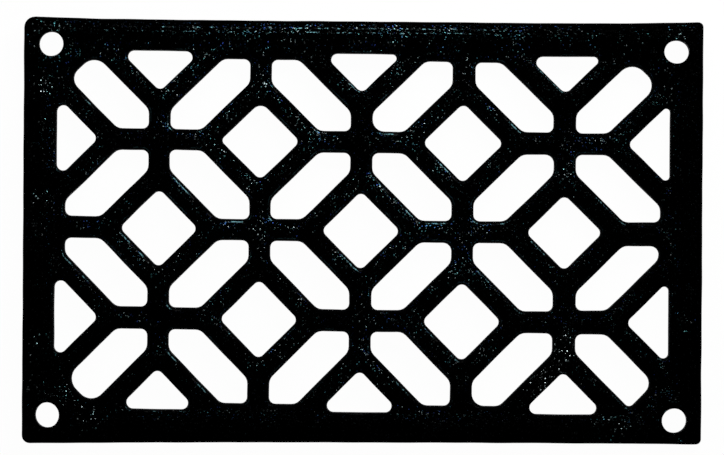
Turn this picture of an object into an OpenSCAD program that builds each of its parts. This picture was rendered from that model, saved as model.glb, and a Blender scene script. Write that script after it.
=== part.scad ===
// Cast iron vent grille: one flat casting with a raised border, a lattice of diamonds and slanted
// slots, and a plain screw hole in each corner. It lies on its flat back, face up.
// Origin at the middle of the back, X along the length, Y along the width, Z towards the face.

/* [Plate] */
// length of the casting
plate_l = 240; // [224:1:260]
// width of the casting
plate_w = 149; // [138:1:162]
// height of the raised border above the back
border_t = 6; // [5:0.1:9]
// height of the lattice above the back
lattice_t = 4.7; // [3:0.1:4.8]
// radius of the outer corners
corner_r = 2.5; // [1:0.1:6]

/* [Border] */
// outer edge to the foot of the border, all round
border_w = 10.4; // [8.5:0.1:11]
// width of the rounded outer edge
rim_round_w = 3; // [1.5:0.1:3.4]
// height of the rounded outer edge
rim_round_h = 1.1; // [0.4:0.1:2]
// outer edge to the step up from the rim to the crown
rim_w = 4.1; // [3.6:0.1:4.6]
// height of the step from the rim to the crown
rim_step = 0.4; // [0.2:0.05:0.8]
// width of the rounded inner shoulder of the border
shoulder_w = 3; // [1:0.1:3.2]

/* [Screw holes] */
// diameter of the plain screw holes
hole_d = 8.6; // [4:0.1:10]
// outer edge to the centre of a screw hole, both ways
hole_inset = 9.25; // [8.5:0.05:10.5]
// centre of a screw hole to the foot of its corner pad
pad_reach = 10.5; // [9:0.1:11.5]

/* [Lattice] */
// outer end to the line of the side half diamonds
edge_l = 12.6; // [11:0.1:14]
// outer edge to the line of the top half diamonds
edge_w = 11.3; // [10:0.1:13]
// width of the slanted slots
slot_w = 13; // [11:0.1:15]
// width of the slanted ribs, at the back
rib_w = 7.3; // [5.5:0.1:9]
// width of the upright and level bars, at the back
bar_w = 7.5; // [5.5:0.1:9]
// outer end to the ends of the slots beside it
slot_end_l = 14.9; // [13.5:0.1:16.5]
// outer edge to the ends of the slots beside it
slot_end_w = 13.5; // [12.5:0.1:15]
// centre of a screw hole to the end of the corner slot
slot_end_pad = 13.6; // [12.5:0.1:15]
// outer end to the flat side of the half diamonds
flat_l = 11.7; // [10.5:0.1:13]
// outer edge to the flat side of the half diamonds
flat_w = 11.1; // [10.5:0.1:13]
// radius of the square and sharp corners of the openings
opening_r = 2.2; // [0.8:0.1:3]
// radius of the blunt corners of the slots
slot_soft_r = 4; // [1:0.1:5]
// radius of the ends of the corner slots, beside the screw holes
slot_pad_r = 5.2; // [2:0.1:5.4]

/* [Cast edges] */
// taper of the opening sides from back to face, one side
draft_w = 0.6; // [0.2:0.05:1]
// rounding of the face edges of the ribs
edge_r = 0.8; // [0.3:0.05:1.1]
// taper of the outer sides from back to rim, one side
side_draft = 0.2; // [0:0.05:0.5]

/* [Hidden] */

columns = 6;
rows = 4;
turn_step = 22.5;
cut = 1;
$fn = 64;

pitch_x = (plate_l - 2 * edge_l) / columns;
pitch_y = (plate_w - 2 * edge_w) / rows;
hole_x = plate_l / 2 - hole_inset;
hole_y = plate_w / 2 - hole_inset;
rim_t = border_t - rim_step;
half_step = (pitch_x + pitch_y) / 2 / sqrt(2);
diamond_h = half_step - slot_w / 2 - rib_w;
recess_d = border_t - lattice_t;

// An outline is a list of sides in turning order, each [direction it faces, distance from its centre].
function turn(a, b) = (b[0] - a[0] + 360) % 360;
function meet(a, b, da, db) =
    let (s = sin(b[0] - a[0]))
    [(da * sin(b[0]) - db * sin(a[0])) / s, (db * cos(a[0]) - da * cos(b[0])) / s];
function next(i, n) = (i + 1) % n;
function soft(t) = t < 60 ? slot_soft_r : opening_r;
function same_radii(sides, r) = [for (s = sides) r];
function radii(sides, pad = -1) =
    let (n = len(sides))
    [for (i = [0:n - 1])
        let (a = sides[i], b = sides[next(i, n)])
        a[0] == pad || b[0] == pad ? slot_pad_r : soft(turn(a, b))];

// sides put in turning order
function in_order(sides) = [for (a = [0:45:315]) for (s = sides) if (s[0] == a) s];

// one rounded corner, moved out by off
function corner(a, b, r, off) =
    let (
        rr = max(r + off, 0.5),
        c = meet(a, b, a[1] + off - rr, b[1] + off - rr),
        t = turn(a, b),
        n = max(2, round(t / turn_step))
    )
    [for (k = [0:n]) c + rr * [cos(a[0] + t * k / n), sin(a[0] + t * k / n)]];

// the outline at one level, moved out by off
function ring(sides, rs, off, z) =
    let (n = len(sides))
    [for (i = [0:n - 1]) for (p = corner(sides[i], sides[next(i, n)], rs[i], off)) [p[0], p[1], z]];

// a solid through the outline at each level, levels are [off, z] from the bottom up
module stack(sides, rs, levels) {
    rings = [for (l = levels) ring(sides, rs, l[0], l[1])];
    n = len(rings[0]);
    m = len(levels);
    pts = [for (r = rings) for (p = r) p];
    walls = [for (k = [0:m - 2]) for (i = [0:n - 1])
        [k * n + i, (k + 1) * n + i, (k + 1) * n + next(i, n), k * n + next(i, n)]];
    bottom = [[for (i = [0:n - 1]) i]];
    top = [[for (i = [n - 1:-1:0]) (m - 1) * n + i]];
    polyhedron(points = pts, faces = concat(bottom, walls, top), convexity = 4);
}

// plate with its rounded outer edge, the rim and the step up to the crown
module blank() {
    sides = [[0, plate_l / 2], [90, plate_w / 2], [180, plate_l / 2], [270, plate_w / 2]];
    round_z = rim_t - rim_round_h;
    levels = concat(
        [[0, 0]],
        [for (k = [0:4]) [-side_draft - (rim_round_w - side_draft) * (1 - cos(22.5 * k)),
            round_z + rim_round_h * sin(22.5 * k)]],
        [[-rim_w, rim_t + 0.02], [-rim_w - rim_step, border_t]]
    );
    stack(sides, same_radii(sides, corner_r), levels);
}

// the sunk field of the lattice, with the rounded shoulder of the border and the corner pads
module recess() {
    px = plate_l / 2 - border_w;
    py = plate_w / 2 - border_w;
    pad = (hole_x + hole_y) / sqrt(2) - pad_reach;
    sides = [[0, px], [45, pad], [90, py], [135, pad], [180, px], [225, pad], [270, py], [315, pad]];
    levels = concat(
        [for (k = [0:4]) [shoulder_w * (1 - cos(22.5 * k)), lattice_t + recess_d * sin(22.5 * k)]],
        [[shoulder_w + 0.1, border_t + cut]]
    );
    stack(sides, same_radii(sides, slot_soft_r), levels);
}

// one opening, tapered and with rounded face edges; pad is the direction of a screw hole beside it
module opening(sides, pad = -1) {
    low = lattice_t - edge_r;
    slope = draft_w / lattice_t;
    levels = concat(
        [[-slope * cut, -cut]],
        [for (k = [0:2]) [slope * low + edge_r * (1 - cos(45 * k)), low + edge_r * sin(45 * k)]],
        [[slope * low + edge_r, border_t + cut]]
    );
    stack(sides, radii(sides, pad), levels);
}

// where a slot ends on one side of its cell, at the border or at a bar
function end_x(at_border, x) = at_border ? plate_l / 2 - slot_end_l - x : (pitch_x - bar_w) / 2;
function end_y(at_border, y) = at_border ? plate_w / 2 - slot_end_w - y : (pitch_y - bar_w) / 2;

// slanted slot of the cell in column i and row j, counted from the lower left
module slot(i, j) {
    x = (i + 0.5 - columns / 2) * pitch_x;
    y = (j + 0.5 - rows / 2) * pitch_y;
    left = i == 0;
    right = i == columns - 1;
    bottom = j == 0;
    top = j == rows - 1;
    rising = (i + j) % 2 == 0;
    pad = right && top ? 45 : left && top ? 135 : left && bottom ? 225 : right && bottom ? 315 : -1;
    pad_end = (hole_x + hole_y - abs(x) - abs(y)) / sqrt(2) - slot_end_pad;
    square = [[0, end_x(right, x)], [90, end_y(top, y)], [180, end_x(left, -x)], [270, end_y(bottom, -y)]];
    slant = [for (a = rising ? [135, 315] : [45, 225]) [a, slot_w / 2]];
    sides = concat(slant, pad < 0 ? square : [
        [pad, pad_end],
        for (s = square) if (turn([pad, 0], s) > 60 && turn([pad, 0], s) < 300) s
    ]);
    translate([x, y, 0])
        opening(in_order(sides), pad);
}

// diamond at the crossing in column i and row j, cut to a triangle where it meets the border
module diamond(i, j) {
    x = (i - columns / 2) * pitch_x;
    y = (j - rows / 2) * pitch_y;
    h = diamond_h;
    flat_x = plate_l / 2 - flat_l - abs(x);
    flat_y = plate_w / 2 - flat_w - abs(y);
    translate([x, y, 0])
        opening(
            i == 0 ? [[45, h], [180, flat_x], [315, h]]
            : i == columns ? [[0, flat_x], [135, h], [225, h]]
            : j == 0 ? [[45, h], [135, h], [270, flat_y]]
            : j == rows ? [[90, flat_y], [225, h], [315, h]]
            : [[45, h], [135, h], [225, h], [315, h]]
        );
}

// border and field, before the openings
module plate() {
    difference() {
        blank();
        recess();
    }
}

module grille() {
    color([0.075, 0.08, 0.085])
        difference() {
            plate();
            for (i = [0:columns - 1])
                for (j = [0:rows - 1])
                    slot(i, j);
            for (i = [0:columns])
                for (j = [0:rows])
                    if ((i + j) % 2 == 1)
                        diamond(i, j);
            for (sx = [-1, 1])
                for (sy = [-1, 1])
                    translate([sx * hole_x, sy * hole_y, -cut])
                        cylinder(d = hole_d, h = border_t + 2 * cut);
        }
}

grille();
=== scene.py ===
import math

import bpy
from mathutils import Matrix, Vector, noise
from mathutils.geometry import delaunay_2d_cdt


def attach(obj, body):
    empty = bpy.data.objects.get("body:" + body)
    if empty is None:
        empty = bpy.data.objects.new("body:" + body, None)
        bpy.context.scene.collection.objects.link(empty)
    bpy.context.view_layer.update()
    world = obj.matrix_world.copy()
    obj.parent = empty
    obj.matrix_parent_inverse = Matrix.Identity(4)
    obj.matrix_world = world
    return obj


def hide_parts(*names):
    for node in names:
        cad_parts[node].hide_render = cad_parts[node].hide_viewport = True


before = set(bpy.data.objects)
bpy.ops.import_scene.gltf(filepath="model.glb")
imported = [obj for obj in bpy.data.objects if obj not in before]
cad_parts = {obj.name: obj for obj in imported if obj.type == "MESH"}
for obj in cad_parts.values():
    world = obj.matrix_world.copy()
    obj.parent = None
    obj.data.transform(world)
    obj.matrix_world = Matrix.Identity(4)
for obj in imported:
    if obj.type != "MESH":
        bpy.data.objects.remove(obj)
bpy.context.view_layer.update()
scene = bpy.context.scene
mm = 0.001

# The casting is in mm. Directions are in degrees, 0 to the right and 90 to the top.
casting = {
    "length": 240,
    "width": 149,
    "cornerRadii": (2.0, 4.2, 3.0, 2.0),  # upper right, upper left, lower left, lower right
    "leastCorner": 0.4,
    "sideHeight": 4.5,  # where the outer side starts to round over
    "sideTaper": 0.2,
    "rimRound": (0.9, 0.75),  # width and height of the rounded outer edge
    "backRound": 0.3,
    # height of the border at each distance in from the outer edge: rounded rim, two small steps, crown
    "border": [
        (1.2, 5.34), (1.7, 5.45), (2.2, 5.52), (2.6, 5.54), (2.93, 5.75), (3.25, 5.78), (3.8, 5.79),
        (4.1, 5.8), (4.38, 5.96), (4.9, 5.98), (5.4, 5.99),
    ],
    "plainBorder": [(1.2, 5.34), (1.7, 5.45), (2.2, 5.52), (4.9, 5.95), (5.4, 5.99)],
    # the two steps come up to full height along "from" and fade along "to"; what is left at either end
    "steps": {"from": (-95, -68), "to": (38, 68), "left": (0.5, 0.2)},
    "footInset": 10.4,  # outer edge to the foot of the border
    "footCorner": 0.5,
    # rise above the lattice at each distance out from the foot
    "shoulder": [
        (-1.3, 0), (-0.8, 0.05), (-0.3, 0.13), (0.2, 0.24), (0.8, 0.37), (1.5, 0.53), (2.3, 0.7),
        (3.2, 0.88), (4.1, 1.02), (4.9, 1.1),
    ],
}

# how finely the casting is made, and how uneven it is
mesh = {
    "spacing": 1.15,
    "holeSpacing": 0.8,
    "frameSpacing": 0.7,
    "backSpacing": 3.2,
    "arcStep": 15,  # degrees
    "arcSteps": 3,  # at least, in each corner
    "shortest": 0.1,  # a straight run under this length is left out
    "edgeSteps": (75, 62, 49, 32, 15, 0),  # degrees round the edge of an opening, from the face down
    "rimSteps": (60, 45, 30, 15, 0),  # and of the outer edge
    "chamfer": 0.3,  # where the middle of a quarter round lies, as a share of its radius
    "gridClear": 0.5,  # grid points keep this far from edges and bends
    "lineClear": 0.35,  # and the lines of bends this far from edges
    "blendClear": 0.15,  # lines of the shoulder stop where the fillet of a boss is further off than this
    "frameClear": 0.3,  # lines of the frames stop this far from the shoulder
    "backClear": (1.5, 1.2),  # grid points of the back, from the outer edge and from the openings
    "weld": 0.000001,  # points closer than this count as one
    "neighbours": 24,  # openings with their centre further off than this are not measured
    "wave": 0.05,
    "waveLength": 9,
    "sand": 0.02,
    "sandLength": 2.2,
    # slice through the 3-D noise for each kind of unevenness
    "slices": {"wave": 3, "sand": 40, "wander": (7, 19), "gloss": 60, "steps": 80},
}


def roundedShape(sides, radii, centre=(0, 0)):
    # sides are (direction it faces, distance from the centre) in turning order, radii the corner after each
    flats, corners = [], []
    for facing, reach in sides:
        nx, ny = math.cos(math.radians(facing)), math.sin(math.radians(facing))
        flats.append((nx, ny, reach + nx * centre[0] + ny * centre[1]))
    for k, (ax, ay, ad) in enumerate(flats):
        bx, by, bd = flats[(k + 1) % len(flats)]
        r = radii[k]
        cross = ax * by - ay * bx
        cx = ((ad - r) * by - (bd - r) * ay) / cross
        cy = ((bd - r) * ax - (ad - r) * bx) / cross
        turn = math.radians((sides[(k + 1) % len(sides)][0] - sides[k][0]) % 360)
        corners.append({"at": (cx, cy), "r": r, "start": math.radians(sides[k][0]), "turn": turn,
                        "a": (ax, ay), "b": (bx, by)})
    return {"flats": flats, "corners": corners, "centre": centre}


def distanceTo(shape, x, y):
    # negative inside the shape
    for c in shape["corners"]:
        dx, dy = x - c["at"][0], y - c["at"][1]
        if c["a"][0] * dy - c["a"][1] * dx >= 0 and dx * c["b"][1] - dy * c["b"][0] >= 0:
            return math.hypot(dx, dy) - c["r"]
    return max(nx * x + ny * y - d for nx, ny, d in shape["flats"])


def trace(shape, spacing):
    # points on the outline, each with the direction it faces
    points = []
    corners = shape["corners"]
    for k, c in enumerate(corners):
        byLength = math.ceil(c["turn"] * c["r"] / spacing)
        byTurn = math.ceil(math.degrees(c["turn"]) / mesh["arcStep"])
        steps = max(mesh["arcSteps"], byLength, byTurn)
        arc = []
        for s in range(steps + 1):
            angle = c["start"] + c["turn"] * s / steps
            nx, ny = math.cos(angle), math.sin(angle)
            arc.append((c["at"][0] + c["r"] * nx, c["at"][1] + c["r"] * ny, nx, ny))
        after = corners[(k + 1) % len(corners)]
        sx = after["at"][0] + after["r"] * c["b"][0]
        sy = after["at"][1] + after["r"] * c["b"][1]
        ex, ey = arc[-1][:2]
        run = math.hypot(sx - ex, sy - ey)
        if run < mesh["shortest"]:
            arc.pop()
        pieces = math.ceil(run / spacing)
        points += arc
        for s in range(1, pieces):
            t = s / pieces
            points.append((ex + (sx - ex) * t, ey + (sy - ey) * t, *c["b"]))
    return points


def roundShape(radius, centre):
    # four sides whose corners take up all but a hair of them
    hair = 0.001
    return roundedShape([(a, radius) for a in (0, 90, 180, 270)], [radius - hair] * 4, centre)


def plateShape(inset=0):
    alongX, alongY = casting["length"] / 2 - inset, casting["width"] / 2 - inset
    radii = [max(r - inset, casting["leastCorner"]) for r in casting["cornerRadii"]]
    return roundedShape([(0, alongX), (90, alongY), (180, alongX), (270, alongY)], radii)


def fieldShape(grow=0):
    # the sunk field of the lattice, before the bosses
    alongX = casting["length"] / 2 - casting["footInset"] + grow
    alongY = casting["width"] / 2 - casting["footInset"] + grow
    sides = [(0, alongX), (90, alongY), (180, alongX), (270, alongY)]
    return roundedShape(sides, [casting["footCorner"]] * 4)


screwHole = {
    "inset": 9.25,
    "radius": 4.3,
    "edge": 0.4,  # rounding of its edge on the face
    "edgeRound": [(0.45, 0.1), (0.1, 0.45), (0, 1)],  # how far out and down that goes, as shares of it
    "bossRadius": 10.5,  # the round boss stands into the field
    "bossFillet": 1.2,
    # how far each one is off its place, and how much longer and wider it came out; (1, 1) is upper right
    "drift": {
        (1, 1): (-0.55, -0.49), (-1, 1): (0.46, -0.04), (-1, -1): (0.03, -0.29), (1, -1): (-0.43, -0.34),
    },
    "oval": {(1, 1): (0.03, -0.05), (-1, 1): (0, 0), (-1, -1): (-0.02, 0.04), (1, -1): (0.02, 0.01)},
    "stiff": (5, 9),  # the casting round a hole moves with it, fading out between these distances
}


def holeCentre(sx, sy):
    dx, dy = screwHole["drift"][sx, sy]
    return (sx * (casting["length"] / 2 - screwHole["inset"]) + dx,
            sy * (casting["width"] / 2 - screwHole["inset"]) + dy)


def outOfField(x, y):
    # distance out from the foot of the border, or of a boss, blended where they meet
    a = distanceTo(field, x, y)
    b = max(screwHole["bossRadius"] - math.hypot(x - hx, y - hy) for hx, hy in holeCentres)
    blend = screwHole["bossFillet"]
    h = max(blend - abs(a - b), 0) / blend
    return max(a, b) + h * h * blend / 4


lattice = {
    "height": 4.9,
    "columns": 6,
    "rows": 4,
    "pitch": (35.8, 31.6),
    "slotWidth": 13,
    "ribWidth": 7.3,
    "barWidth": 7.5,
    "slotEnds": (14.9, 13.5),  # from the outer edge, along the length and the width
    "padSlotEnd": 13.6,  # from the centre of a screw hole
    "flats": (11.7, 11.1),  # outer edge to the flat side of the half diamonds
    "sharpRadius": 2.2,
    "softRadius": 4,  # at the blunt corners
    "padRadius": 5.2,  # beside a screw hole
    "taper": 0.2,
    "tight": 0.15,  # the openings came out this much smaller all round than drawn
    "tightAt": {  # and some more or less so, at (column, row) of the crossing or of the middle of the cell
        (5, 2): 0.4, (5.5, 1.5): 0.35, (5.5, 0.5): 0.25, (4.5, 3.5): 0.25, (5, 4): 0.25,
        (0, 1): -0.4, (5, 0): -0.3, (3, 0): -0.2, (1, 4): -0.2, (1.5, 2.5): -0.2, (4, 3): -0.2,
    },
    # sides that came out further out (+) or in, and corners of another radius, each after the side named
    "sidesAt": {
        (0.5, 0.5): {225: 0.6}, (5.5, 0.5): {315: -0.2}, (0.5, 3.5): {135: 0.3}, (5.5, 1.5): {90: -0.3},
    },
    "cornersAt": {
        (2, 3): {45: 3.4, 135: 1.6}, (3.5, 3.5): {180: 4.2}, (4.5, 0.5): {180: 4.2}, (4.5, 2.5): {0: 3.2},
        (3.5, 1.5): {0: 3.0}, (6, 3): {0: 1.3, 225: 1.4}, (6, 1): {0: 1.4, 225: 1.7}, (3, 4): {315: 1.4},
        (5, 4): {315: 1.5}, (5.5, 0.5): {225: 1.8, 315: 4.2}, (0.5, 3.5): {135: 4.4}, (5.5, 1.5): {0: 2.9},
    },
    "edgeRound": 2.0,
    "flatEdgeRound": 1.2,  # half diamonds, beside the border
    "frameRise": 0.25,  # the diamond frames stand a little above the bars
    "frameReach": 15.9,  # centre of a diamond to the edge of its frame
    "frameCorner": 0.6,
    "frameStep": 0.4,  # half the width of the step up to a frame
    "frameEnd": (-5, -1.5),  # the frames fade out between these distances from the foot of the border
    "ribCrown": 0.22,  # drop of the face from the middle of a rib to its edge
    "ribCrownWidth": 2.3,
    "crownEnd": (-0.9, 0.1),  # and the crowns of the ribs between these
}


def slotShape(i, j):
    halfL, halfW = casting["length"] / 2, casting["width"] / 2
    pitchX, pitchY = lattice["pitch"]
    x = (i + 0.5 - lattice["columns"] / 2) * pitchX
    y = (j + 0.5 - lattice["rows"] / 2) * pitchY
    left, right = i == 0, i == lattice["columns"] - 1
    bottom, top = j == 0, j == lattice["rows"] - 1
    barX, barY = (pitchX - lattice["barWidth"]) / 2, (pitchY - lattice["barWidth"]) / 2
    endX = halfL - lattice["slotEnds"][0] - abs(x)
    endY = halfW - lattice["slotEnds"][1] - abs(y)
    square = {0: endX if right else barX, 90: endY if top else barY,
              180: endX if left else barX, 270: endY if bottom else barY}
    rising = (i + j) % 2 == 0
    sides = {a: lattice["slotWidth"] / 2 for a in ((135, 315) if rising else (45, 225))}
    pad = None
    if (left or right) and (top or bottom):
        # beside a screw hole one slanted end takes the place of the two square ones
        pad = (45 if top else 315) if right else (135 if top else 225)
        holeX, holeY = halfL - screwHole["inset"], halfW - screwHole["inset"]
        sides[pad] = (holeX + holeY - abs(x) - abs(y)) / math.sqrt(2) - lattice["padSlotEnd"]
        square = {a: d for a, d in square.items() if 45 < (a - pad) % 360 < 315}
    sides.update(square)
    return openingShape(sides, pad, (x, y), (i + 0.5, j + 0.5))


def diamondShape(i, j):
    x = (i - lattice["columns"] / 2) * lattice["pitch"][0]
    y = (j - lattice["rows"] / 2) * lattice["pitch"][1]
    halfStep = sum(lattice["pitch"]) / 2 / math.sqrt(2)
    h = halfStep - lattice["slotWidth"] / 2 - lattice["ribWidth"]
    sides = {45: h, 135: h, 225: h, 315: h}
    flatX = casting["length"] / 2 - lattice["flats"][0] - abs(x)
    flatY = casting["width"] / 2 - lattice["flats"][1] - abs(y)
    if i == 0:
        sides = {45: h, 180: flatX, 315: h}
    elif i == lattice["columns"]:
        sides = {0: flatX, 135: h, 225: h}
    elif j == 0:
        sides = {45: h, 135: h, 270: flatY}
    elif j == lattice["rows"]:
        sides = {90: flatY, 225: h, 315: h}
    shape = openingShape(sides, None, (x, y), (i, j))
    if len(sides) == 3:
        shape["round"] = lattice["flatEdgeRound"]
    return shape


def openingShape(sides, pad, centre, place):
    # as it came out of the sand: tighter or looser than drawn, with each corner's own radius
    order = sorted(sides)
    radii = []
    for k, a in enumerate(order):
        b = order[(k + 1) % len(order)]
        blunt = (b - a) % 360 == 45
        radius = lattice["softRadius"] if blunt else lattice["sharpRadius"]
        if pad in (a, b):
            radius = lattice["padRadius"]
        radii.append(lattice["cornersAt"].get(place, {}).get(a, radius))
    tight = lattice["tight"] + lattice["tightAt"].get(place, 0)
    moved = lattice["sidesAt"].get(place, {})
    shape = roundedShape([(a, sides[a] - tight + moved.get(a, 0)) for a in order], radii, centre)
    shape["round"] = lattice["edgeRound"]
    return shape


def frameShape(diamond, grow):
    sides = [(a, lattice["frameReach"] + grow) for a in (45, 135, 225, 315)]
    return roundedShape(sides, [lattice["frameCorner"]] * 4, diamond["centre"])


plate = plateShape()
field = fieldShape()
holePlaces = [(sx, sy) for sx in (1, -1) for sy in (1, -1)]
holeCentres = [holeCentre(sx, sy) for sx, sy in holePlaces]
holes = [roundShape(screwHole["radius"], centre) for centre in holeCentres]
slots = [slotShape(i, j) for i in range(lattice["columns"]) for j in range(lattice["rows"])]
diamonds = [diamondShape(i, j) for i in range(lattice["columns"] + 1) for j in range(lattice["rows"] + 1)
            if (i + j) % 2 == 1]
openings = slots + diamonds
print("drawing:", len(slots), "slots,", len(diamonds), "diamonds,", len(holes), "screw holes")


def onProfile(rows, at):
    if at <= rows[0][0]:
        return rows[0][1]
    for (x0, z0), (x1, z1) in zip(rows, rows[1:]):
        if at < x1:
            return z0 + (z1 - z0) * (at - x0) / (x1 - x0)
    return rows[-1][1]


def smooth(low, high, value):
    t = min(max((value - low) / (high - low), 0), 1)
    return t * t * (3 - 2 * t)


def unevenness(kind, x, y, length):
    return noise.noise(Vector((x, y, mesh["slices"][kind])) / length)


def faceGrow(shape):
    # from the back edge of an opening to where the flat of the face starts
    return lattice["taper"] * (lattice["height"] - shape["round"]) / lattice["height"] + shape["round"]


def near(shapes, x, y):
    reach = mesh["neighbours"]
    return [s for s in shapes if abs(s["centre"][0] - x) < reach and abs(s["centre"][1] - y) < reach]


def clearance(x, y):
    # from the nearest opening's rounded edge
    return min([distanceTo(s, x, y) - faceGrow(s) for s in near(openings, x, y)], default=math.inf)


def stepsKept(x):
    steps = casting["steps"]
    left, right = steps["left"]
    return left + (1 - left) * smooth(*steps["from"], x) - (1 - right) * smooth(*steps["to"], x)


def borderHeight(x, y):
    inset = -distanceTo(plate, x, y)
    plain = onProfile(casting["plainBorder"], inset)
    return plain + (onProfile(casting["border"], inset) - plain) * stepsKept(x)


def latticeHeight(x, y, out):
    # with the diamond frames a little proud, and each rib crowned
    z = lattice["height"] + onProfile(casting["shoulder"], out)
    reach = min([(abs(d["centre"][0] - x) + abs(d["centre"][1] - y)) / math.sqrt(2)
                 for d in near(diamonds, x, y)], default=math.inf)
    step = lattice["frameStep"]
    raised = lattice["frameRise"] * (1 - smooth(*lattice["frameEnd"], out))
    z += raised * (1 - smooth(-step, step, reach - lattice["frameReach"]))
    edge = 1 - min(max(clearance(x, y), 0) / lattice["ribCrownWidth"], 1)
    return z - (1 - smooth(*lattice["crownEnd"], out)) * lattice["ribCrown"] * edge ** 2


def faceHeight(x, y):
    out = outOfField(x, y)
    onBorder = out > casting["shoulder"][-1][0]
    z = borderHeight(x, y) if onBorder else latticeHeight(x, y, out)
    wave = unevenness("wave", x, y, mesh["waveLength"]) * mesh["wave"]
    sand = unevenness("sand", x, y, mesh["sandLength"]) * mesh["sand"]
    return z + wave + sand


# how far the real casting is off square, in mm at the ends of its length or width
drift = {
    "latticeSlip": (-0.66, 0.38),
    "latticeTurn": (0.2, -0.64),
    "latticeStretch": (0.12, -0.13),
    "latticeBow": (0.8, 0.43, -0.98),  # sideways along the length, upward along the length and the width
    "topEdge": (-0.05, -0.35, 0.9),  # slip, turn, and lift of its two ends
    "endPower": 6,  # higher keeps that lift closer to the ends
    "bottomEdge": (0.07, 0.5, -0.45),  # slip, turn and bow
    "edgeBand": (3, 12),  # the outer edges' drift passes into that of the lattice between these insets
    "wander": 0.12,
    "wanderLength": 11,
}


def driftAt(x, y):
    u, v = x / (casting["length"] / 2), y / (casting["width"] / 2)
    slip, turn, stretch = drift["latticeSlip"], drift["latticeTurn"], drift["latticeStretch"]
    bow = drift["latticeBow"]
    inX = slip[0] + turn[0] * v + stretch[0] * u + bow[0] * u * u
    inY = slip[1] + turn[1] * u + stretch[1] * v + bow[1] * u * u + bow[2] * v * v
    top, bottom = drift["topEdge"], drift["bottomEdge"]
    topY = top[0] + top[1] * u + top[2] * u ** drift["endPower"]
    bottomY = bottom[0] + bottom[1] * u + bottom[2] * u * u
    edgeY = topY * (1 + v) / 2 + bottomY * (1 - v) / 2
    inset = min(casting["length"] / 2 - abs(x), casting["width"] / 2 - abs(y))
    inside = smooth(*drift["edgeBand"], inset)
    at = Vector((x, y, 0)) / drift["wanderLength"]
    wander = [noise.noise(at + Vector((0, 0, z))) * drift["wander"] for z in mesh["slices"]["wander"]]
    return inX * inside + wander[0], inY * inside + edgeY * (1 - inside) + wander[1]


def castPlace(x, y, z):
    # moves a point of the true drawing to where the real casting has it
    atX, atY = x, y
    for place, (hx, hy) in zip(holePlaces, holeCentres):
        stiff = 1 - smooth(*screwHole["stiff"], math.hypot(atX - hx, atY - hy))
        if stiff > 0:
            oval = screwHole["oval"][place]
            x += (atX - hx) * oval[0] * stiff
            y += (atY - hy) * oval[1] * stiff
            atX += (hx - atX) * stiff
            atY += (hy - atY) * stiff
            break
    movedX, movedY = driftAt(atX, atY)
    return Vector((x + movedX, y + movedY, z)) * mm


# Each wall goes down from just under the face edge to the back, in steps of (growth of the outline, height).
def backEdge(start, way):
    # rounded, with way 1 for an opening, which widens there, and -1 for the outer side, which draws in
    back, middle = casting["backRound"], casting["backRound"] * mesh["chamfer"]
    return [(start, back), (way * middle, middle), (way * back, 0)]


def openingWall(z, edge):
    low = z - edge
    slope = lattice["taper"] / lattice["height"]
    rows = []
    for angle in mesh["edgeSteps"]:
        t = math.radians(angle)
        rows.append((slope * low + edge * (1 - math.cos(t)), low + edge * math.sin(t)))
    return rows + backEdge(slope * casting["backRound"], 1)


def holeWall(z, edge):
    return [(edge * out, z - edge * down) for out, down in screwHole["edgeRound"]] + backEdge(0, 1)


def outerWall(_z, _edge):
    width, height = casting["rimRound"]
    taper = casting["sideTaper"]
    rows = []
    for angle in mesh["rimSteps"]:
        t = math.radians(angle)
        grow = -taper - (width - taper) * (1 - math.cos(t))
        rows.append((grow, casting["sideHeight"] + height * math.sin(t)))
    return rows + backEdge(0, -1)


# the gloss is broken along the rounded edges, and worn off those that face the top
gloss = {
    "edges": 0.2,  # glossy where the noise is above this
    "matt": -0.05,  # and matt where it is below this
    "length": 7,
    "wornFacing": -0.9,  # an outline that faces down by more than this has an edge that faces the top
    "worn": 0.3,
    "levels": (1, 2),  # steps of the wall that lie on the rounded edge, the last of them glossy
    # the two steps of the upper border, which face the lamps and alone take the glossy paint as a painted
    # highlight: each one's insets, and how rare its glints are
    "steps": [(2.6, 2.93, 0.71), (4.1, 4.38, 0.81)],
    "stepFade": 0.5,  # they are commoner by this where the steps are at full height
    "glintLength": 1.6,
    "glintSpread": 9,  # this many times shorter across a step
}
# numbers of the three paints on the mesh
onFace, onGlossyEdge, onMattSide = 0, 1, 2


def wallFinish(cut, level, point, ny):
    if cut["wall"] is outerWall or level > gloss["levels"][-1]:
        return onMattSide
    if level < gloss["levels"][0]:
        return onFace
    shine = unevenness("gloss", *point, gloss["length"])
    if ny < gloss["wornFacing"]:
        shine -= gloss["worn"]
    if level == gloss["levels"][-1] and shine > gloss["edges"]:
        return onGlossyEdge
    return onMattSide if shine < gloss["matt"] else onFace


def stepFinish(points):
    # painted highlight: only the two steps of the upper border, which face the lamps, take the glossy paint
    # here and there, over their real glints
    x, y = (sum(p[k] for p in points) / len(points) for k in (0, 1))
    inset = casting["width"] / 2 - y
    for low, high, rare in gloss["steps"]:
        if low < inset < high:
            broken = unevenness("steps", x, inset * gloss["glintSpread"], gloss["glintLength"])
            return onGlossyEdge if broken > rare - gloss["stepFade"] * stepsKept(x) else onFace
    return onFace


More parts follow.
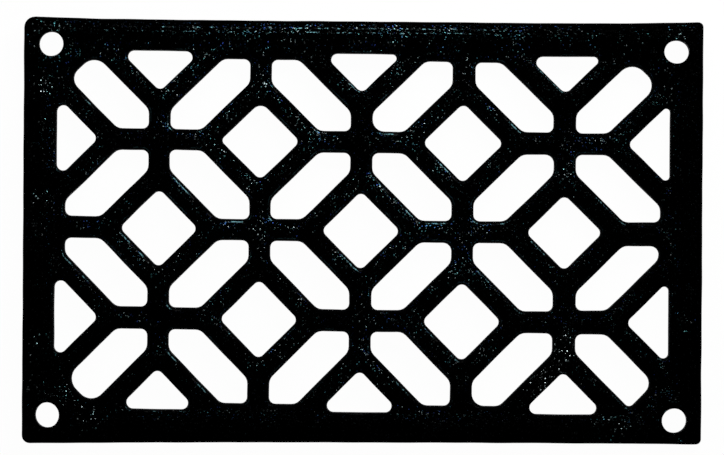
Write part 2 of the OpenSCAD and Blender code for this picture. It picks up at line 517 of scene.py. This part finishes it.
def triangulate(points, loops, lines):
    # loops are lists of point numbers, the outer one first; returns the triangles outside the openings
    edges = [(loop[k], loop[(k + 1) % len(loop)]) for loop in loops for k in range(len(loop))] + lines
    flat = [Vector(p) for p in points]
    coords, _, faces, origins, _, _ = delaunay_2d_cdt(flat, edges, [], 0, mesh["weld"])
    owner = {n: k for k, loop in enumerate(loops) if k > 0 for n in loop}
    back = [o[0] if o else None for o in origins]
    extra = {}
    kept = []
    for face in faces:
        names = []
        for n in face:
            if back[n] is None:
                extra.setdefault(n, len(points) + len(extra))
                names.append(extra[n])
            else:
                names.append(back[n])
        owners = {owner.get(n) for n in names}
        inOpening = len(owners) == 1 and None not in owners
        if not inOpening:
            kept.append(names)
    added = [tuple(coords[n]) for n in extra]
    return kept, added


def grid(spacing):
    rowStep = spacing * math.sqrt(3) / 2
    rows = int(casting["width"] / rowStep)
    columns = int(casting["length"] / spacing)
    for r in range(-rows // 2, rows // 2 + 1):
        for c in range(-columns // 2, columns // 2 + 1):
            yield (c + 0.5 * (r % 2)) * spacing, r * rowStep


def tooNear(x, y, clear):
    return clearance(x, y) < clear or min(distanceTo(h, x, y) for h in holes) < screwHole["edge"] + clear


def bendLines():
    # where the face bends, each with its spacing and how far out from the foot of the border it holds
    anywhere = (-math.inf, math.inf)
    lines = [(plateShape(inset), mesh["spacing"], anywhere) for inset, _ in casting["border"][1:]]
    for grow, _ in casting["shoulder"]:
        bosses = [roundShape(screwHole["bossRadius"] - grow, centre) for centre in holeCentres]
        held = (grow - mesh["blendClear"], grow + mesh["blendClear"])
        lines += [(shape, mesh["spacing"], held) for shape in [fieldShape(grow)] + bosses]
    step = lattice["frameStep"]
    inField = (-math.inf, casting["shoulder"][0][0] - mesh["frameClear"])
    for diamond in diamonds:
        lines += [(frameShape(diamond, grow), mesh["frameSpacing"], inField) for grow in (-step, 0, step)]
    return lines


def addLine(outline, held, flat, edges):
    # adds the stretches of one line that are clear of the openings
    first = before = None
    for x, y, _, _ in outline + outline[:1]:
        if not held[0] <= outOfField(x, y) <= held[1] or tooNear(x, y, mesh["lineClear"]):
            before = None
            continue
        if first is not None and (x, y) == flat[first]:
            now = first
        else:
            now = len(flat)
            flat.append((x, y))
        if first is None:
            first = now
        if before is not None and before != now:
            edges.append((before, now))
        before = now


def castFace(cuts):
    # seen from above: the edge of each cut, kept as its loop, the lines where the face bends, and a loose
    # grid between them
    flat, edges = [], []
    for cut in cuts:
        cut["loop"] = list(range(len(flat), len(flat) + len(cut["outline"])))
        flat += [(x + nx * cut["grow"], y + ny * cut["grow"]) for x, y, nx, ny in cut["outline"]]
    for shape, spacing, held in bendLines():
        addLine(trace(shape, spacing), held, flat, edges)
    clear = mesh["gridClear"]
    shoulderStart, shoulderEnd = casting["shoulder"][0][0] - clear, casting["shoulder"][-1][0] + clear
    for x, y in grid(mesh["spacing"]):
        out = outOfField(x, y)
        onCrown = out > shoulderEnd and -distanceTo(plate, x, y) > casting["border"][-1][0] + clear
        if (out < shoulderStart or onCrown) and not tooNear(x, y, clear):
            flat.append((x, y))
    faces, added = triangulate(flat, [cut["loop"] for cut in cuts], edges)
    return flat + added, faces


def castWall(cut, flat, heights, vertices, faces, finishes):
    # one side, from its loop on the face down to the back; returns its last loop and where that lies
    outline, above = cut["outline"], cut["loop"]
    profiles = [cut["wall"](heights[n], cut["edge"]) for n in above]
    for level in range(len(profiles[0])):
        below = list(range(len(vertices), len(vertices) + len(outline)))
        for (x, y, nx, ny), profile in zip(outline, profiles):
            grow, z = profile[level]
            vertices.append(castPlace(x + nx * grow, y + ny * grow, z))
        for k in range(len(outline)):
            n = (k + 1) % len(outline)
            quad = (below[k], below[n], above[n], above[k])
            faces.append(quad if cut["wall"] is outerWall else quad[::-1])
            finishes.append(wallFinish(cut, level, flat[cut["loop"][k]], outline[k][3]))
        above = below
    grow = profiles[0][-1][0]
    return above, [(x + nx * grow, y + ny * grow) for x, y, nx, ny in outline]


def castBack(rims, vertices, faces):
    # flat, between the last loops of the walls
    flat, loops, names = [], [], []
    for rim, places in rims:
        loops.append(list(range(len(flat), len(flat) + len(rim))))
        names += rim
        flat += places
    fromEdge, fromOpening = mesh["backClear"]
    inner = []
    for x, y in grid(mesh["backSpacing"]):
        gap = min(distanceTo(s, x, y) for s in near(openings, x, y) + holes)
        if -distanceTo(plate, x, y) >= fromEdge and gap >= fromOpening:
            inner.append((x, y))
    backFaces, added = triangulate(flat + inner, loops, [])
    for x, y in inner + added:
        names.append(len(vertices))
        vertices.append(castPlace(x, y, 0))
    faces += [[names[n] for n in reversed(face)] for face in backFaces]


coat = {
    # painted highlight: the iron glints most around this point near the top, under the lamps
    "paintedGlintCentre": (-20, 45),
    # (distance from there, how much of the iron glints) where the painted fall-off starts and where the
    # glints are weakest
    "lattice": ((20, 0.76), (150, 0.13)),
    "border": ((20, 1.25), (110, 0.015)),
    "borderEdge": (7, 12),  # the one passes into the other between these insets
    # sand burnt on in spots, where a few bare grains glint: place, reach and strength
    "burntSpots": [
        (72, -40, 7, 5), (67, -47, 7, 9), (62, -53, 7, 7), (-116, -56, 7, 3), (-112, -41, 9, 1.5),
        (-104, -57, 8, 1.2), (-95, -66, 8, 1.4), (88, -69, 9, 1), (-113, 51, 5, 3), (-114, 39, 4, 2.5),
        (-113, 11, 5, 2), (-114, 1, 4, 2), (79, 67, 8, 0.35), (95, 67, 8, 0.7), (-112, 72, 10, 1.2),
        (111, 71, 6, 1), (113, -31, 5, 1.5), (110, -73, 4, 2), (71, 21, 3, 3),
    ],
    "burntCore": 0.2,  # share of the reach at full strength
}


def paintedGlintFalloff(x, y):
    # painted light: more of the iron glints towards the upper middle, under the lamps, and less towards the
    # ends, most of all on the border
    cx, cy = coat["paintedGlintCentre"]
    away = math.hypot(x - cx, y - cy)
    onLattice, onBorder = (most + (least - most) * smooth(start, end, away)
                           for (start, most), (end, least) in (coat["lattice"], coat["border"]))
    return onBorder + (onLattice - onBorder) * smooth(*coat["borderEdge"], -distanceTo(plate, x, y))


def burntSand(x, y):
    return sum(strength * (1 - smooth(coat["burntCore"] * reach, reach, math.hypot(x - sx, y - sy)))
               for sx, sy, reach, strength in coat["burntSpots"])


def castGrille():
    # what bounds the face: the outer side, then each opening and each screw hole
    cuts = [{"outline": trace(plate, mesh["spacing"]), "grow": -casting["border"][0][0], "edge": 0,
             "wall": outerWall}]
    cuts += [{"outline": trace(s, mesh["spacing"]), "grow": faceGrow(s), "edge": s["round"],
              "wall": openingWall} for s in openings]
    cuts += [{"outline": trace(s, mesh["holeSpacing"]), "grow": screwHole["edge"], "edge": screwHole["edge"],
              "wall": holeWall} for s in holes]

    flat, faces = castFace(cuts)
    faceCount = len(faces)
    print("grille: face of", faceCount, "triangles")
    heights = [faceHeight(x, y) for x, y in flat]
    vertices = [castPlace(x, y, z) for (x, y), z in zip(flat, heights)]
    finishes = [stepFinish([flat[n] for n in face]) for face in faces]
    rims = [castWall(cut, flat, heights, vertices, faces, finishes) for cut in cuts]
    print("grille: sides of", len(cuts), "outlines")
    castBack(rims, vertices, faces)
    finishes += [onFace] * (len(faces) - len(finishes))

    data = bpy.data.meshes.new("castGrille")
    data.from_pydata(vertices, [], faces)
    data.polygons.foreach_set("material_index", finishes)
    # the glossy parts of the two steps stay crisp
    smoothed = [finish == onFace for finish in finishes[:faceCount]] + [True] * (len(faces) - faceCount)
    data.polygons.foreach_set("use_smooth", smoothed)
    for name, amount in (("paintedGlintFalloff", paintedGlintFalloff), ("burntSand", burntSand)):
        marks = data.attributes.new(name, "FLOAT", "POINT")
        marks.data.foreach_set("value", [amount(v.x / mm, v.y / mm) for v in vertices])
    data.validate()
    piece = bpy.data.objects.new("castGrille", data)
    scene.collection.objects.link(piece)
    triangles = sum(len(p.vertices) - 2 for p in data.polygons)
    print("grille:", len(data.vertices), "vertices,", triangles, "triangles")
    return piece


def hexColour(text):
    channels = [int(text[k:k + 2], 16) / 255 for k in (1, 3, 5)]
    return [c / 12.92 if c <= 0.04045 else ((c + 0.055) / 1.055) ** 2.4 for c in channels] + [1]


def addNode(tree, kind, values=None, links=None, **settings):
    node = tree.nodes.new(kind)
    for name, value in settings.items():
        setattr(node, name, value)
    for name, value in (values or {}).items():
        node.inputs[name].default_value = value
    for name, source in (links or {}).items():
        tree.links.new(source, node.inputs[name])
    return node


def newMaterial(name):
    material = bpy.data.materials.new(name)
    material.use_nodes = True
    material.node_tree.nodes.clear()
    return material, material.node_tree


# lengths in mm
paint = {
    "glints": [(0.05, "#8b9597"), (0.4, "#427d7e"), (1, "#263a88")],  # tints of the iron, grain by grain
    "edgeTint": (0.62, 0.63, 0.64, 1),
    # the paint film away from the upper middle, darker there as painted shade
    "paintedShadeFilm": "#010101",
    "face": {"film": "#030303", "shine": 1, "roughness": (0.15, 0.2)},
    "edge": {"film": "#1f3235", "shine": 1, "roughness": (0.13, 0.17)},
    "side": {"film": "#000000", "shine": 0, "roughness": (0.7, 0.9)},
    "grain": 0.8,  # sand grain is 0.2 to 0.5 mm, drawn coarser so that it shows
    "grainReach": 0.5,  # from the top of a grain to its foot, in grains
    "grainHeight": 0.3,
    "smallGrain": 0.36,  # height of the smallest grains, as a share of that
    "largeGrains": 5,  # higher is fewer
    "bareGrains": 7,  # higher is fewer, where sand burnt on
    "flank": 4,  # at this the middle of a grain's flank is fully bare
    "uneven": 1.7,  # the paint pulled into waves of this length as it dried
    "unevenHeight": 0.34,
    "patch": 13,  # and wore thin in patches of this size
    "patchEdge": (0.455, 0.64),  # noise at the rim of a patch, and where its paint is thinnest
    "patchStrength": (0.035, 0.97),  # how much shows through there
}


def paintedCastIron(name, finish):
    # grey iron cast in sand under black paint thin enough for the metal to glint through: near black, with
    # cool sparks where a grain faces the lamp
    material, tree = newMaterial(name)
    place = addNode(tree, "ShaderNodeTexCoord").outputs["Object"]
    grain = addNode(tree, "ShaderNodeTexVoronoi", {"Scale": 1 / (paint["grain"] * mm)}, {"Vector": place})
    chance = addNode(tree, "ShaderNodeSeparateColor", links={"Color": grain.outputs["Color"]})
    patches = addNode(tree, "ShaderNodeTexNoise",
                      {"Scale": 1 / (paint["patch"] * mm), "Detail": 3, "Roughness": 0.6}, {"Vector": place})
    paintedFalloff = addNode(tree, "ShaderNodeAttribute", attribute_name="paintedGlintFalloff")
    burnt = addNode(tree, "ShaderNodeAttribute", attribute_name="burntSand")

    # how much iron each grain shows: by the patch, the painted fall-off of the glints away from the upper
    # middle and chance, and more where sand burnt on
    (start, full), (least, most) = paint["patchEdge"], paint["patchStrength"]
    shown = addNode(tree, "ShaderNodeMapRange",
                    {"From Min": start, "From Max": full, "To Min": least, "To Max": most},
                    {"Value": patches.outputs["Fac"]})
    shown = addNode(tree, "ShaderNodeMath", {}, {0: shown.outputs["Result"], 1: paintedFalloff.outputs["Fac"]},
                    operation="MULTIPLY")
    shown = addNode(tree, "ShaderNodeMath", {}, {0: shown.outputs[0], 1: chance.outputs["Green"]},
                    operation="MULTIPLY")
    bare = addNode(tree, "ShaderNodeMath", {1: paint["bareGrains"]}, {0: chance.outputs["Green"]},
                   operation="POWER")
    shown = addNode(tree, "ShaderNodeMath", {},
                    {0: bare.outputs[0], 1: burnt.outputs["Fac"], 2: shown.outputs[0]},
                    operation="MULTIPLY_ADD")

    # the grains as low domes of many heights, on the waves of the paint
    large = addNode(tree, "ShaderNodeMath", {1: paint["largeGrains"]}, {0: chance.outputs["Red"]},
                    operation="POWER")
    dome = addNode(tree, "ShaderNodeMapRange",
                   {"From Min": 0, "From Max": paint["grainReach"], "To Min": 1, "To Max": 0},
                   {"Value": grain.outputs["Distance"]}, interpolation_type="SMOOTHSTEP")
    height = addNode(tree, "ShaderNodeMath", {1: paint["smallGrain"]}, {0: large.outputs[0]},
                     operation="ADD")
    height = addNode(tree, "ShaderNodeMath", {}, {0: height.outputs[0], 1: dome.outputs["Result"]},
                     operation="MULTIPLY")
    uneven = addNode(tree, "ShaderNodeTexNoise", {"Scale": 1 / (paint["uneven"] * mm), "Detail": 1},
                     {"Vector": place})
    relief = addNode(tree, "ShaderNodeMath", {1: paint["unevenHeight"] / paint["grainHeight"]},
                     {0: uneven.outputs["Fac"], 2: height.outputs[0]}, operation="MULTIPLY_ADD")
    bump = addNode(tree, "ShaderNodeBump", {"Strength": 1, "Distance": paint["grainHeight"] * mm},
                   {"Height": relief.outputs[0]})

    # the tint of the iron, whiter where sand burnt on
    tinge = addNode(tree, "ShaderNodeMath", {0: 1}, {1: burnt.outputs["Fac"]}, operation="ADD")
    tinge = addNode(tree, "ShaderNodeMath", {}, {0: chance.outputs["Blue"], 1: tinge.outputs[0]},
                    operation="DIVIDE")
    iron = addNode(tree, "ShaderNodeValToRGB", links={"Fac": tinge.outputs[0]})
    stops = iron.color_ramp.elements
    stops.new(0.5)
    for stop, (at, colour) in zip(stops, paint["glints"]):
        stop.position, stop.color = at, hexColour(colour)

    # the iron shows on the flanks of the grains, not on their tops or between them
    flank = addNode(tree, "ShaderNodeMath", {0: 1}, {1: dome.outputs["Result"]}, operation="SUBTRACT")
    flank = addNode(tree, "ShaderNodeMath", {}, {0: flank.outputs[0], 1: dome.outputs["Result"]},
                    operation="MULTIPLY")
    glint = addNode(tree, "ShaderNodeMath", {}, {0: shown.outputs[0], 1: flank.outputs[0]},
                    operation="MULTIPLY")
    glint = addNode(tree, "ShaderNodeMath", {1: paint["flank"] * finish["shine"]}, {0: glint.outputs[0]},
                    operation="MULTIPLY")
    # painted shade: the film darkens away from the upper middle along with the glints
    film = addNode(tree, "ShaderNodeMix",
                   {"A": hexColour(paint["paintedShadeFilm"]), "B": hexColour(finish["film"])},
                   {"Factor": paintedFalloff.outputs["Fac"]}, data_type="RGBA")
    tone = addNode(tree, "ShaderNodeMix", {},
                   {"Factor": glint.outputs[0], "A": film.outputs["Result"], "B": iron.outputs["Color"]},
                   data_type="RGBA")
    low, high = finish["roughness"]
    rough = addNode(tree, "ShaderNodeMapRange", {"To Min": low, "To Max": high},
                    {"Value": patches.outputs["Fac"]})
    surface = addNode(tree, "ShaderNodeBsdfPrincipled", {"Metallic": 1, "Specular Tint": paint["edgeTint"]},
                      {"Base Color": tone.outputs["Result"], "Roughness": rough.outputs["Result"],
                       "Normal": bump.outputs["Normal"]})
    addNode(tree, "ShaderNodeOutputMaterial", links={"Surface": surface.outputs[0]})
    return material


grilleBody = castGrille()
# in the order of onFace, onGlossyEdge and onMattSide
for name, finish in (("", "face"), ("Glossy", "edge"), ("Matt", "side")):
    grilleBody.data.materials.append(paintedCastIron("paintedCastIron" + name, paint[finish]))
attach(grilleBody, "root")
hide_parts("grille")
print("paint: face, glossy edges and matt sides")

# The studio is in m and W, and the camera's aim in mm.
studio = {
    "floorSize": 8,
    "floorDrop": 0.00005,  # keeps it off the flat back
    "floor": "#f4f4f4",
    "floorGlow": 0.98,
    "horizon": (0.02, 0.42),  # height on a sphere of 1 where the white horizon starts to fade and is gone
    "overhead": 0.012,
    "key": {"at": (-0.02, 0.46, 0.2), "size": (0.16, 0.24), "power": 2.0},
    "side": {"at": (0.3, 0.42, 0.22), "size": (0.26, 0.26), "power": 3.6},
    "lens": 250,
    "framed": 678.7 / 724,  # share of the picture's width that the casting takes up
    "roll": 0.35,
    "aim": (-0.21, 1.6),
    "clipEnd": 20,
}


def studioFloor():
    bpy.ops.mesh.primitive_plane_add(size=studio["floorSize"], location=(0, 0, -studio["floorDrop"]))
    floor = bpy.context.object
    floor.name = "studioFloor"
    material, tree = newMaterial("whitePaperSweep")
    # plain white to the eye and in reflections, and paper to the light, so that it keeps the shadow
    seen = addNode(tree, "ShaderNodeLightPath")
    shown = seen.outputs["Is Camera Ray"]
    for ray in ("Is Glossy Ray", "Is Transmission Ray"):
        shown = addNode(tree, "ShaderNodeMath", {}, {0: shown, 1: seen.outputs[ray]},
                        operation="MAXIMUM").outputs[0]
    share = addNode(tree, "ShaderNodeMath", {1: studio["floorGlow"]}, {0: shown}, operation="MULTIPLY")
    paper = addNode(tree, "ShaderNodeBsdfDiffuse", {"Color": hexColour(studio["floor"])})
    glow = addNode(tree, "ShaderNodeEmission", {"Color": (1, 1, 1, 1), "Strength": 1})
    both = addNode(tree, "ShaderNodeMixShader", {},
                   {0: share.outputs[0], 1: paper.outputs[0], 2: glow.outputs[0]})
    addNode(tree, "ShaderNodeOutputMaterial", links={"Surface": both.outputs[0]})
    floor.data.materials.append(material)


def studioWorld():
    world = bpy.data.worlds.new("studio")
    scene.world = world
    world.use_nodes = True
    tree = world.node_tree
    tree.nodes.clear()
    place = addNode(tree, "ShaderNodeTexCoord").outputs["Generated"]
    up = addNode(tree, "ShaderNodeSeparateXYZ", links={"Vector": place})
    low, high = studio["horizon"]
    level = addNode(tree, "ShaderNodeMapRange",
                    {"From Min": low, "From Max": high, "To Min": 1, "To Max": studio["overhead"]},
                    {"Value": up.outputs["Z"]}, interpolation_type="SMOOTHSTEP")
    light = addNode(tree, "ShaderNodeBackground", {"Color": (1, 1, 1, 1)},
                    {"Strength": level.outputs["Result"]})
    addNode(tree, "ShaderNodeOutputWorld", links={"Surface": light.outputs[0]})


def softbox(name, lamp):
    data = bpy.data.lights.new(name, "AREA")
    data.shape = "RECTANGLE"
    data.size, data.size_y = lamp["size"]
    data.energy = lamp["power"]
    box = bpy.data.objects.new(name, data)
    box.location = lamp["at"]
    box.rotation_euler = (-Vector(lamp["at"])).to_track_quat("-Z", "Y").to_euler()
    box.visible_camera = False
    scene.collection.objects.link(box)


def overheadCamera():
    data = bpy.data.cameras.new("camera")
    data.lens = studio["lens"]
    data.clip_end = studio["clipEnd"]
    camera = bpy.data.objects.new("camera", data)
    width = casting["length"] * mm / studio["framed"]
    height = width * data.lens / data.sensor_width
    roll = math.radians(studio["roll"])
    x, y = (v * mm for v in studio["aim"])
    turnedX, turnedY = x * math.cos(roll) - y * math.sin(roll), x * math.sin(roll) + y * math.cos(roll)
    camera.location = (turnedX, turnedY, height)
    camera.rotation_euler = (0, 0, roll)
    scene.collection.objects.link(camera)
    scene.camera = camera


studioFloor()
studioWorld()
softbox("keyLamp", studio["key"])
softbox("sideLamp", studio["side"])
overheadCamera()
scene.view_settings.view_transform = "Standard"
print("studio: floor, world, lamps and camera")
